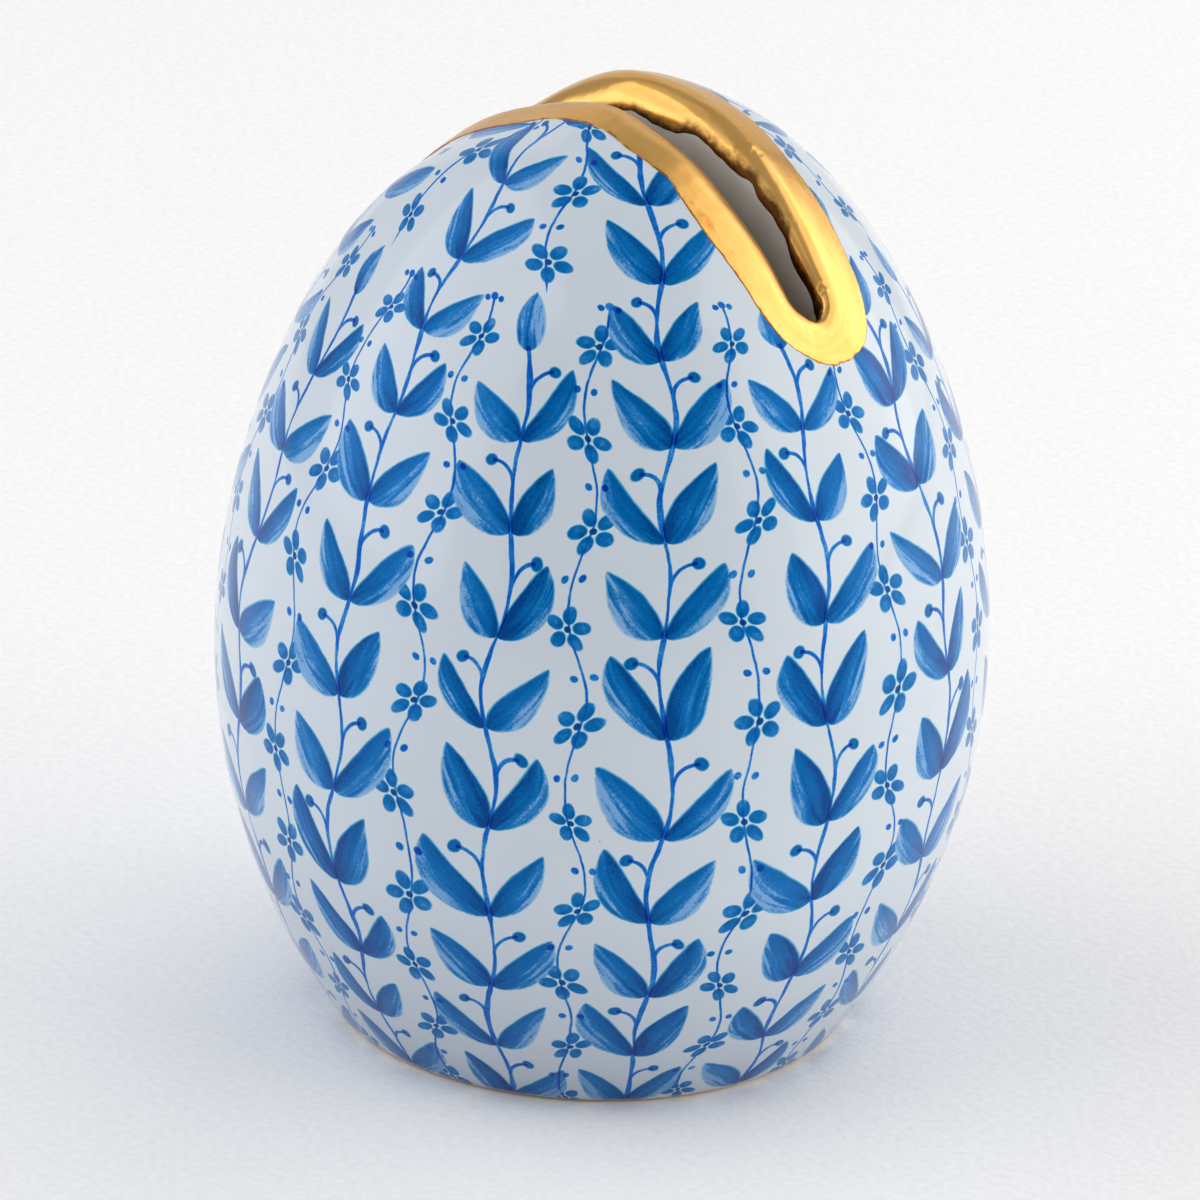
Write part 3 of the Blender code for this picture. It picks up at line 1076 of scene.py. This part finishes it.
@dataclass(frozen=True)
class FiredGold:
    """Liquid gold, brushed over the glaze, fired and burnished.

    The eye gets warm, slightly blurred reflections with soft brush lines along the lip, orange
    where the gold is rubbed thin, a broken brown line where it runs out over the glaze, and a
    ragged dark brown border where it runs out in the slot: partly gold that fired thin, partly a
    painted dark reflection of the slot, widest on the back lip. The front lip's gold is left as it
    was brushed, so it is matt, and it gets thicker towards its outer border, which tilts its shine
    back.
    """

    gold: str = "#e8b667"
    brushed_gold: str = "#e4ac5a"
    thin_gold: str = "#a8651f"
    worn_gold: str = "#e08428"
    # Dark brown of gold fired thin at its border in the slot, and a painted dark reflection of the
    # slot
    burnt_and_shaded_gold: str = "#55341a"
    roughness: float = 0.16
    brushed_roughness: float = 0.27
    hair_roughness: float = 0.1
    worn_and_shaded_roughness: float = 0.15
    # Scale per mm and detail of its clouds, and how the brush draws the hairs' cloud out
    drawn_out: Triple = (0.7, 0.7, 2.4)
    hairs: Pair = (1.0, 3.0)
    dents: Pair = (0.9, 2.0)
    grit: Pair = (5.0, 3.0)
    # What makes a place rubbed, thin, or burnt brown with painted shade: its grit, its wear or
    # dents, and what it starts from
    rubbed_from: Triple = (1.6, 1.0, -1.25)
    thin_from: Triple = (0.2, 0.3, -0.2)
    burnt_and_shaded_from: Triple = (0.45, 0.6, -0.52)
    # Between which values a brush line, a rubbed place, a thin border and a burnt border with
    # painted shade show
    brush_lines: Pair = (0.4, 0.7)
    rubbed_share: Limits = (0.0, 1.0, 0.0, 0.9)
    thin_edge: Pair = (-0.03, 0.04)
    burnt_and_shaded_edge: Pair = (-0.28, 0.3)
    # The front lip's direction in the brush's loop, and between which places there it turns matt
    front: Triple = (0.5, 0.87, 0.0)
    front_from: Pair = (1.0, 3.5)
    front_lip_slope: float = 0.15
    dent_depth: float = 0.03
    hair_depth: float = 0.08

    def material(self) -> bpy.types.Material:
        """Make the finish.

        Returns:
            The material.
        """
        sheet = NodeSheet("fired gold")
        add = sheet.add
        brush = add(Kind.ATTRIBUTE, output="Vector", attribute_name="brush")
        edge, wear, burn_and_shade = (
            add(Kind.ATTRIBUTE, output="Fac", attribute_name=name)
            for name in ("from_edge", "wear", "burn_and_shade")
        )
        from_slot = add(Kind.SPLIT, (brush,), "Z")
        stretched = add(Kind.VECTOR, (brush, self.drawn_out), operation="MULTIPLY")
        clouds = ((stretched, *self.hairs), (brush, *self.dents), (brush, *self.grit))
        hairs, dents, grit = (
            add(Kind.CLOUD, {"Vector": place, "Scale": scale, "Detail": detail})
            for place, scale, detail in clouds
        )

        brushed = add(Kind.RANGE, (hairs, *self.brush_lines))
        faults = ((wear, self.rubbed_from), (dents, self.thin_from), (dents, self.burnt_and_shaded_from))
        rubbed, thin, burnt_and_shaded = (
            add(Sum.TIMES_PLUS, (grit, by_grit, add(Sum.TIMES_PLUS, (other, by_other, least))))
            for other, (by_grit, by_other, least) in faults
        )
        rubbed = add(Kind.RANGE, (rubbed, *self.rubbed_share))
        thin = add(Kind.RANGE, (add(Sum.MINUS, (thin, edge)), *self.thin_edge))
        # The dark border in the slot: gold fired thin, and a painted dark reflection of the slot
        burnt_and_shaded = (add(Sum.MINUS, (add(Sum.PLUS, (burn_and_shade, burnt_and_shaded)), from_slot)), *self.burnt_and_shaded_edge)
        burnt_and_shaded = add(Kind.RANGE, burnt_and_shaded, interpolation_type="SMOOTHSTEP")
        coats = (
            (brushed, self.brushed_gold),
            (rubbed, self.worn_gold),
            (thin, self.thin_gold),
            (burnt_and_shaded, self.burnt_and_shaded_gold),
        )
        colour = self.gold
        for share, coat in coats:
            mixed = {MIX_SHARE: share, MIX_UNDER: colour, MIX_OVER: coat}
            colour = add(Kind.MIX, mixed, MIX_RESULT, data_type="RGBA")

        front = add(Kind.VECTOR, (brush, self.front), "Value", operation="DOT_PRODUCT")
        front = add(Kind.RANGE, (front, *self.front_from))
        matt = self.brushed_roughness - self.roughness
        roughness = add(Sum.TIMES_PLUS, (front, matt, self.roughness))
        worn_and_shaded = add(Sum.MOST, (rubbed, burnt_and_shaded))
        for share, rougher in ((hairs, self.hair_roughness), (worn_and_shaded, self.worn_and_shaded_roughness)):
            roughness = add(Sum.TIMES_PLUS, (share, rougher, roughness))

        sloped = add(Sum.TIMES, (from_slot, add(Sum.TIMES, (front, self.front_lip_slope))))
        relief = add(Sum.TIMES_PLUS, (hairs, self.hair_depth, dents))
        relief = add(Sum.TIMES_PLUS, (relief, self.dent_depth, sloped))
        bump = add(Kind.BUMP, {"Strength": 1.0, "Distance": METRE, "Height": relief})
        looks = {"Base Color": colour, "Metallic": 1.0, "Roughness": roughness, "Normal": bump}
        add(Kind.OUTPUT, (add(Kind.SHADER, looks),))
        return sheet.material


@dataclass(frozen=True)
class PlainPaper:
    """Matt white paper of the studio floor, which gives the eye an even pale ground."""

    white: str = "#fafafa"
    shaded: str = "#f3f3f5"
    grain: float = 0.4
    grain_detail: float = 3.0
    shaded_from: Pair = (0.3, 0.7)
    bump: float = 0.07
    roughness: float = 0.9

    def material(self) -> bpy.types.Material:
        """Make the finish.

        Returns:
            The material.
        """
        sheet = NodeSheet("plain paper")
        add = sheet.add
        here = add(Kind.PLACE, output="Object")
        scale = 1.0 / (self.grain * METRE)
        mottle = {"Vector": here, "Scale": scale, "Detail": self.grain_detail}
        mottle = add(Kind.CLOUD, mottle)
        share = add(Kind.RANGE, (mottle, *self.shaded_from))
        colour = {MIX_SHARE: share, MIX_UNDER: self.white, MIX_OVER: self.shaded}
        colour = add(Kind.MIX, colour, MIX_RESULT, data_type="RGBA")
        bump = add(Kind.BUMP, {"Strength": self.bump, "Distance": METRE, "Height": mottle})
        looks = {"Base Color": colour, "Roughness": self.roughness, "Normal": bump}
        add(Kind.OUTPUT, (add(Kind.SHADER, looks),))
        return sheet.material


@dataclass
class PaintedEgg:
    """The egg with its slot, foot and painting, as one closed mesh.

    It lies on the CAD solid's own surface, apart from the flattening round the slot.
    """

    form: EggForm
    slot: CardSlot
    garland: LeafGarland
    wall_steps: int = 12
    lip_steps: int = 18
    crown_steps: int = 56
    side_steps: int = 110
    foot_steps: int = 7
    underside_steps: int = 8
    round_from: float = 13.6

    def rings(self) -> tuple[np.ndarray, np.ndarray]:
        """Make rings from the slot's floor over the lips and the skin to the foot's middle.

        Returns:
            The rings, and for each whether it is painted.
        """
        inside = self.slot.wall_rings(self.wall_steps)
        lips = self.slot.lip_rings(self.lip_steps)
        count = self.slot.points
        middle = self.slot.side_points + self.slot.end_points / 2
        around = circle(FULL_TURN * (np.arange(count) - middle) / count)

        start = lips[-1][:, :2]
        skin = []
        for share in np.linspace(0.0, 1.0, self.crown_steps + 1)[1:]:
            plan = start + (around * self.round_from - start) * share
            skin.append(self.slot.skin_ring(plan, 0.0))

        radii, heights = self.form.meridian()
        lengths = np.concatenate(([0.0], np.cumsum(np.hypot(np.diff(radii), np.diff(heights)))))
        top = float(self.form.height(np.array(self.round_from)))
        ends = np.interp((-top, -self.form.foot_rounding), -heights, lengths)
        for length in np.linspace(*ends, self.side_steps + 1)[1:]:
            height = np.interp(length, lengths, heights)
            skin.append(level_ring(around * self.form.radius(height), height))

        foot_radius = self.form.radius(np.array(0.0))
        corner = level_ring(around * foot_radius, 0.0)
        end = level_ring(around * (foot_radius - self.form.foot_rounding), 0.0)
        skin += rounded_corner(skin[-1], corner, end, self.foot_steps)[1:]
        under = [end * share for share in np.linspace(1.0, 0.0, self.underside_steps + 1)[1:-1]]
        rings = np.array(inside + lips + skin + under)
        painted = np.zeros(len(rings))
        painted[len(inside) + len(lips) // 2 : -len(under)] = 1.0
        return rings, painted

    def floor_faces(self) -> list[tuple[int, ...]]:
        """Close the slot's floor, from each point to the one straight across.

        Returns:
            The faces, as point numbers.
        """
        count = self.slot.points
        first = -self.slot.end_points // 2
        last = self.slot.side_points + self.slot.end_points // 2
        across = 2 * self.slot.side_points + self.slot.end_points
        faces = []
        for point in range(first, last):
            corners = (point, point + 1, across - point - 1, across - point)
            faces.append(tuple(dict.fromkeys(corner % count for corner in corners)))
        return faces

    def build(self) -> bpy.types.Object:
        """Make the piece and its layers of painter's measures.

        Returns:
            The piece.
        """
        rings, painted = self.rings()
        count = self.slot.points
        points = np.concatenate((rings.reshape(-1, 3), [(0.0, 0.0, 0.0)]))
        faces = self.floor_faces() + ring_faces(len(rings), count)
        last, middle = (len(rings) - 1) * count, len(points) - 1
        faces += [(last + point, middle, last + (point + 1) % count) for point in range(count)]
        piece = make_piece("painted_egg", points, faces, PaintedPorcelain(self.garland).material())

        heights, phases, scales, _ = self.garland.grid.table()
        write_layer(piece, "row_phase", np.interp(points[:, 2], heights, phases))
        write_layer(piece, "motif_scale", np.interp(points[:, 2], heights, scales))
        write_layer(piece, "skin", np.append(np.repeat(painted, count), 0.0))
        drops = self.slot.skin_height(points[:, :2]) - points[:, 2]
        rings_in_slot = self.slot.fillet_rings + self.wall_steps + self.lip_steps
        in_slot = np.arange(len(points)) < rings_in_slot * count
        write_layer(piece, "slot_depth", drops * in_slot)
        return piece


@dataclass(frozen=True)
class Flaw:
    """A small fault of the gold: its place round the loop, its reach out of the gap, and sizes."""

    place: float
    reach: float
    length: float
    width: float
    height: float
    wear: float


@dataclass
class GildedLips:
    """The gold over the lips: a thin closed skin with an uneven border, brushed on by hand."""

    slot: CardSlot
    thickness: float = 0.03
    sunk: float = 0.012
    edge_round: float = 0.06
    samples: int = 42
    # Rings of the surface under it: up the wall, its uppermost ones that the gold can reach, over
    # the lip, and out over the skin to this reach
    wall_steps: int = 16
    wall_rings: int = 9
    lip_steps: int = 24
    skin_steps: int = 26
    skin_reach: float = 3.6
    place_length: float = 0.159
    brush_loop: float = 8.2
    # How far the gold reaches out of the gap: front lip, near end, back lip and far end
    reach_keys: tuple[Pair, ...] = (
        (0, 2.3), (31, 2.85), (45, 2.85), (52, 2.62), (57, 2.42), (65, 2.4), (72, 2.42),
        (78, 2.5), (81, 2.5), (86, 2.62), (97, 2.46), (101, 2.28), (106, 2.45), (117, 2.46),
        (123, 2.32), (130, 2.06), (138, 1.76), (147, 1.48), (156, 1.32), (165, 1.36),
        (174, 1.66), (183, 2.18), (192, 2.6), (202, 2.76), (218, 2.78), (232, 2.96), (245, 2.84),
        (293, 2.7), (324, 2.4), (339, 1.9), (354, 1.45), (369, 1.8),
    )
    reach_ease: float = 3.0
    # How deep it runs down into the slot, which is most ragged on the back lip
    depth_keys: tuple[Pair, ...] = (
        (0, 1.2), (14, 1.4), (25, 1.05), (40, 1.3), (52, 1.0), (66, 1.25), (80, 1.1), (97, 1.35),
        (110, 1.1), (125, 1.5), (162, 1.9), (188, 1.7), (193, 1.35), (200, 1.5), (203, 0.96),
        (209, 0.97), (214, 1.06), (216, 0.78), (222, 1.09), (231, 1.15), (238, 1.11),
        (244, 1.6), (251, 1.7), (255, 1.61), (261, 1.45), (266, 1.6), (272, 1.9), (290, 2.0),
        (306, 1.7), (324, 1.5), (354, 1.7), (372, 1.4),
    )
    depth_ease: float = 1.5
    # How wide it is brown above its lower border, which is widest on the back lip: partly gold
    # fired thin, partly a painted dark reflection of the slot
    burn_and_shade_keys: tuple[Pair, ...] = (
        (0, 0.14), (100, 0.14), (130, 0.2), (165, 0.32), (185, 0.5), (196, 0.6), (212, 0.62),
        (222, 0.56), (232, 0.4), (245, 0.33), (262, 0.28), (272, 0.16), (310, 0.16), (345, 0.28),
        (372, 0.16),
    )
    burn_and_shade_ease: float = 6.0
    outer_wobble: HandWobble = HandWobble(0.016, (17, 29, 53, 89, 127), 22)
    inner_wobble: HandWobble = HandWobble(0.034, (13, 19, 31, 47, 83), 21)
    flaws: tuple[Flaw, ...] = (
        Flaw(108.6, 2.15, 0.16, 0.12, 0.0, 1.1),
        Flaw(112.0, 2.1, 0.3, 0.16, 0.0, 0.9),
        Flaw(115.0, 2.0, 0.35, 0.22, 0.0, 1.1),
        Flaw(122.0, 1.9, 0.5, 0.12, 0.0, 0.7),
        Flaw(223.2, 0.25, 0.13, 0.12, 0.05, 0.0),
        Flaw(225.4, 0.4, 0.1, 0.1, 0.03, 0.0),
        Flaw(221.0, 0.9, 0.12, 0.11, -0.035, 0.3),
        Flaw(222.6, 1.05, 0.1, 0.12, 0.03, 0.0),
        Flaw(220.0, 1.15, 0.1, 0.1, -0.03, 0.3),
        Flaw(186.0, 0.3, 0.12, 0.12, 0.04, 0.0),
        Flaw(190.0, 0.2, 0.12, 0.1, 0.03, 0.0),
    )

    def strip(self) -> tuple[np.ndarray, np.ndarray, np.ndarray]:
        """Make rings over the surface, from deep in the slot to past the gold's border.

        Returns:
            The rings, how far each point lies below the skin, and how far out of the gap.
        """
        line, outward, radius = self.slot.edge()
        rings = self.slot.wall_rings(self.wall_steps)[-self.wall_rings :]
        rings += self.slot.lip_rings(self.lip_steps)
        for share in np.linspace(0.0, 1.0, self.skin_steps + 1)[1:]:
            offset = radius + (self.skin_reach - radius) * share
            rings.append(self.slot.skin_ring(line + offset[:, None] * outward, 0.0))
        stack = np.array(rings)
        drops = self.slot.skin_height(stack[..., :2]) - stack[..., 2]
        offsets = np.einsum("rpc,pc->rp", stack[..., :2] - line, outward)
        return stack, drops, offsets

    def faults(self, reach: np.ndarray, point: int) -> tuple[np.ndarray, np.ndarray]:
        """Add up what the flaws do along one line across the strip.

        Args:
            reach: How far out of the gap its points lie.
            point: The line's number round the slot.

        Returns:
            The height and the wear at each point.
        """
        height, wear = np.zeros(len(reach)), np.zeros(len(reach))
        place = point * LOOP_PLACES / self.slot.points
        for flaw in self.flaws:
            along = (place - flaw.place) * self.place_length / flaw.length
            near = np.exp(-(along**2) - ((reach - flaw.reach) / flaw.width) ** 2)
            height += flaw.height * near
            wear += flaw.wear * near
        return height, wear

    def build(self) -> bpy.types.Object:
        """Make the piece and its layers of brush measures.

        Returns:
            The piece.
        """
        stack, drops, offsets = self.strip()
        around = np.roll(stack, -1, axis=1) - np.roll(stack, 1, axis=1)
        normals = np.cross(np.gradient(stack, axis=0), around)
        normals /= np.linalg.norm(normals, axis=2, keepdims=True)
        steps = np.linalg.norm(np.diff(stack, axis=0), axis=2)
        count = self.slot.points
        lengths = np.concatenate((np.zeros((1, count)), np.cumsum(steps, axis=0)))

        depth = round_the_loop(self.depth_keys, count, self.depth_ease)
        depth += self.inner_wobble.values(count)
        reach = round_the_loop(self.reach_keys, count, self.reach_ease)
        reach += self.outer_wobble.values(count)
        burn_and_shade = round_the_loop(self.burn_and_shade_keys, count, self.burn_and_shade_ease)
        shares = 0.5 - 0.5 * np.cos(np.linspace(0.0, math.pi, self.samples))
        loop = self.brush_loop * circle(np.linspace(0.0, FULL_TURN, count, endpoint=False))
        tops, bottoms, layers = [], [], []
        for point in range(count):
            measure = lengths[:, point]
            start = np.interp(-depth[point], -drops[:, point], measure)
            end = np.interp(reach[point], offsets[:, point], measure)
            places = start + (end - start) * shares
            surface, normal = (
                np.column_stack([np.interp(places, measure, values) for values in line.T])
                for line in (stack[:, point], normals[:, point])
            )
            normal /= np.linalg.norm(normal, axis=1, keepdims=True)
            edge = np.minimum(places - start, end - places)
            swell = np.sqrt(1.0 - (1.0 - np.clip(edge / self.edge_round, 0.0, 1.0)) ** 2)
            height, wear = self.faults(np.interp(places, measure, offsets[:, point]), point)
            tops.append(surface + normal * (swell * (self.thickness + height))[:, None])
            bottoms.append(surface - normal * (swell * self.sunk)[:, None])
            brush = np.tile(loop[point], (self.samples, 1))
            burn_and_shade_values = np.full(self.samples, burn_and_shade[point])
            layers.append(np.column_stack((brush, places - start, edge, wear, burn_and_shade_values)))
        top, bottom, layer = (
            np.array(lines).transpose(1, 0, 2) for lines in (tops, bottoms, layers)
        )
        rings = np.concatenate((top, bottom[-2:0:-1]))
        total = len(rings) * count
        closed = ring_faces(len(rings) + 1, count)
        faces = [tuple(corner % total for corner in face) for face in closed]
        piece = make_piece("gilded_lips", rings.reshape(-1, 3), faces, FiredGold().material())

        measures = np.concatenate((layer, layer[-2:0:-1])).reshape(total, -1)
        write_layer(piece, "brush", measures[:, :3])
        for place, name in enumerate(("from_edge", "wear", "burn_and_shade"), start=3):
            write_layer(piece, name, measures[:, place])
        return piece


@dataclass(frozen=True)
class Viewpoint:
    """The camera, at the photograph's angle. Angles are in degrees."""

    azimuth: float = 41.5
    elevation: float = 22.5
    roll: float = 2.353
    distance: float = 420.0
    lens: float = 286.9
    sensor: float = 36.0
    middle_height: float = 17.4
    aim_up: float = 1.5
    aim_right: float = -0.077
    nearest: float = 10.0
    farthest: float = 20000.0

    def make(self) -> None:
        """Make the camera and use it."""
        away = direction(self.azimuth, self.elevation)
        turn = away.to_track_quat("Z", "Y") @ Quaternion((0.0, 0.0, 1.0), math.radians(self.roll))
        middle = Vector((0.0, 0.0, self.middle_height))
        aim = middle + turn @ Vector((self.aim_right, self.aim_up, 0.0))
        data = bpy.data.cameras.new("viewpoint")
        data.lens = self.lens
        data.sensor_width = self.sensor
        data.clip_start = self.nearest * METRE
        data.clip_end = self.farthest * METRE
        camera = bpy.data.objects.new("viewpoint", data)
        place = (aim + away * self.distance) * METRE
        camera.matrix_world = Matrix.LocRotScale(place, turn, None)
        bpy.context.scene.collection.objects.link(camera)
        bpy.context.scene.camera = camera


@dataclass(frozen=True)
class SoftBox:
    """An oblong soft light that faces the egg.

    Azimuth is measured from the camera to its right, in degrees, and brightness is what a white
    paper in full light shows as 1.
    """

    name: str
    azimuth: float
    elevation: float
    width: float
    height: float
    brightness: float
    colour: str
    distance: float = 350.0
    middle_height: float = 20.0

    def make(self, camera_azimuth: float, for_shine: bool) -> None:
        """Make the light.

        Args:
            camera_azimuth: The camera's azimuth.
            for_shine: Whether it shows only in reflections, or else only lights.
        """
        away = direction(camera_azimuth + self.azimuth, self.elevation)
        data = bpy.data.lights.new(self.name, "AREA")
        data.shape = "RECTANGLE"
        data.size = self.width * METRE
        data.size_y = self.height * METRE
        data.energy = self.brightness * math.pi * data.size * data.size_y
        data.color = linear_colour(self.colour)[:3]
        light = bpy.data.objects.new(self.name, data)
        place = (Vector((0.0, 0.0, self.middle_height)) + away * self.distance) * METRE
        light.matrix_world = Matrix.LocRotScale(place, away.to_track_quat("Z", "Y"), None)
        light.visible_camera = False
        light.visible_glossy = for_shine
        light.visible_diffuse = not for_shine
        bpy.context.scene.collection.objects.link(light)


@dataclass(frozen=True)
class Studio:
    """Plain pale floor and soft light.

    The glaze and the gold reflect softer boxes than those that light them, so the shines show in
    reflections only, and the softboxes don't show there.
    """

    floor_rings: tuple[float, ...] = (3000.0, 800.0, 200.0, 40.0, 1.0)
    floor_points: int = 96
    surround: float = 0.486
    surround_colour: str = "#f9fafd"
    softboxes: tuple[SoftBox, ...] = (
        SoftBox("right_softbox", 79.0, 17.0, 340.0, 260.0, 2.46, "#fffaf2"),
        SoftBox("back_softbox", 138.0, 34.0, 460.0, 320.0, 1.02, "#fffaf2"),
        SoftBox("left_softbox", -86.0, 35.0, 440.0, 320.0, 1.62, "#ffffff"),
    )
    shines: tuple[SoftBox, ...] = (
        SoftBox("right_shine", 93.0, 30.0, 480.0, 425.0, 0.95, "#fffdf8", distance=365.0),
        SoftBox("right_low_shine", 80.0, 18.0, 520.0, 270.0, 0.56, "#fffdf8", distance=375.0),
        SoftBox("right_side_shine", 126.0, 20.0, 200.0, 300.0, 0.75, "#fffdf8", distance=370.0),
        SoftBox("left_shine", -79.0, 33.0, 460.0, 430.0, 0.95, "#ffffff", distance=365.0),
        SoftBox("left_low_shine", -68.0, 13.0, 540.0, 220.0, 0.42, "#ffffff", distance=372.0),
        SoftBox("top_left_shine", -105.0, 70.0, 300.0, 220.0, 0.22, "#ffffff", distance=372.5),
        SoftBox("front_shine", -25.0, 60.0, 300.0, 200.0, 0.3, "#ffffff", distance=378.0),
        SoftBox("back_shine", 180.0, 21.0, 400.0, 360.0, 0.3, "#fff8ee", distance=380.0),
    )

    def floor(self) -> bpy.types.Object:
        """Make the floor as rings of a level disc.

        Returns:
            The floor.
        """
        around = circle(np.linspace(0.0, FULL_TURN, self.floor_points, endpoint=False))
        rings = [level_ring(around * radius, 0.0) for radius in self.floor_rings]
        points = np.concatenate(rings)
        faces = [tuple(reversed(face)) for face in ring_faces(len(rings), self.floor_points)]
        last = (len(rings) - 1) * self.floor_points
        faces.append(tuple(range(last, last + self.floor_points)))
        return make_piece("paper_floor", points, faces, PlainPaper().material())

    def make(self, camera_azimuth: float) -> None:
        """Make the floor, the surrounding light, the softboxes and the shines.

        Args:
            camera_azimuth: The camera's azimuth.
        """
        self.floor()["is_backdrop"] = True
        world = bpy.data.worlds.new("studio")
        world.use_nodes = True
        background = next(node for node in world.node_tree.nodes if node.type == "BACKGROUND")
        background.inputs["Color"].default_value = linear_colour(self.surround_colour)
        background.inputs["Strength"].default_value = self.surround
        bpy.context.scene.world = world
        for boxes, for_shine in ((self.softboxes, False), (self.shines, True)):
            for box in boxes:
                box.make(camera_azimuth, for_shine)
        bpy.context.scene.view_settings.view_transform = "Standard"


def main() -> None:
    """Build the place card holder and its studio."""
    logging.basicConfig(level=logging.INFO, format="%(message)s")
    view = Viewpoint()
    view.make()
    form = EggForm()
    slot = CardSlot(form)
    egg = PaintedEgg(form, slot, LeafGarland(GarlandGrid(form))).build()
    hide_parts("porcelain_egg")
    fine_slot = replace(slot, side_points=2 * slot.side_points, end_points=2 * slot.end_points)
    gilding = GildedLips(fine_slot).build()
    for piece in (egg, gilding):
        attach(piece, "root")
        log.info("%s: %d faces", piece.name, len(piece.data.polygons))
    Studio().make(view.azimuth)

    boxes = {"cad": cad_box, "visual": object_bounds()}
    {name: [list(corner) for corner in box] for name, box in boxes.items()}


if __name__ == "__main__":
    main()
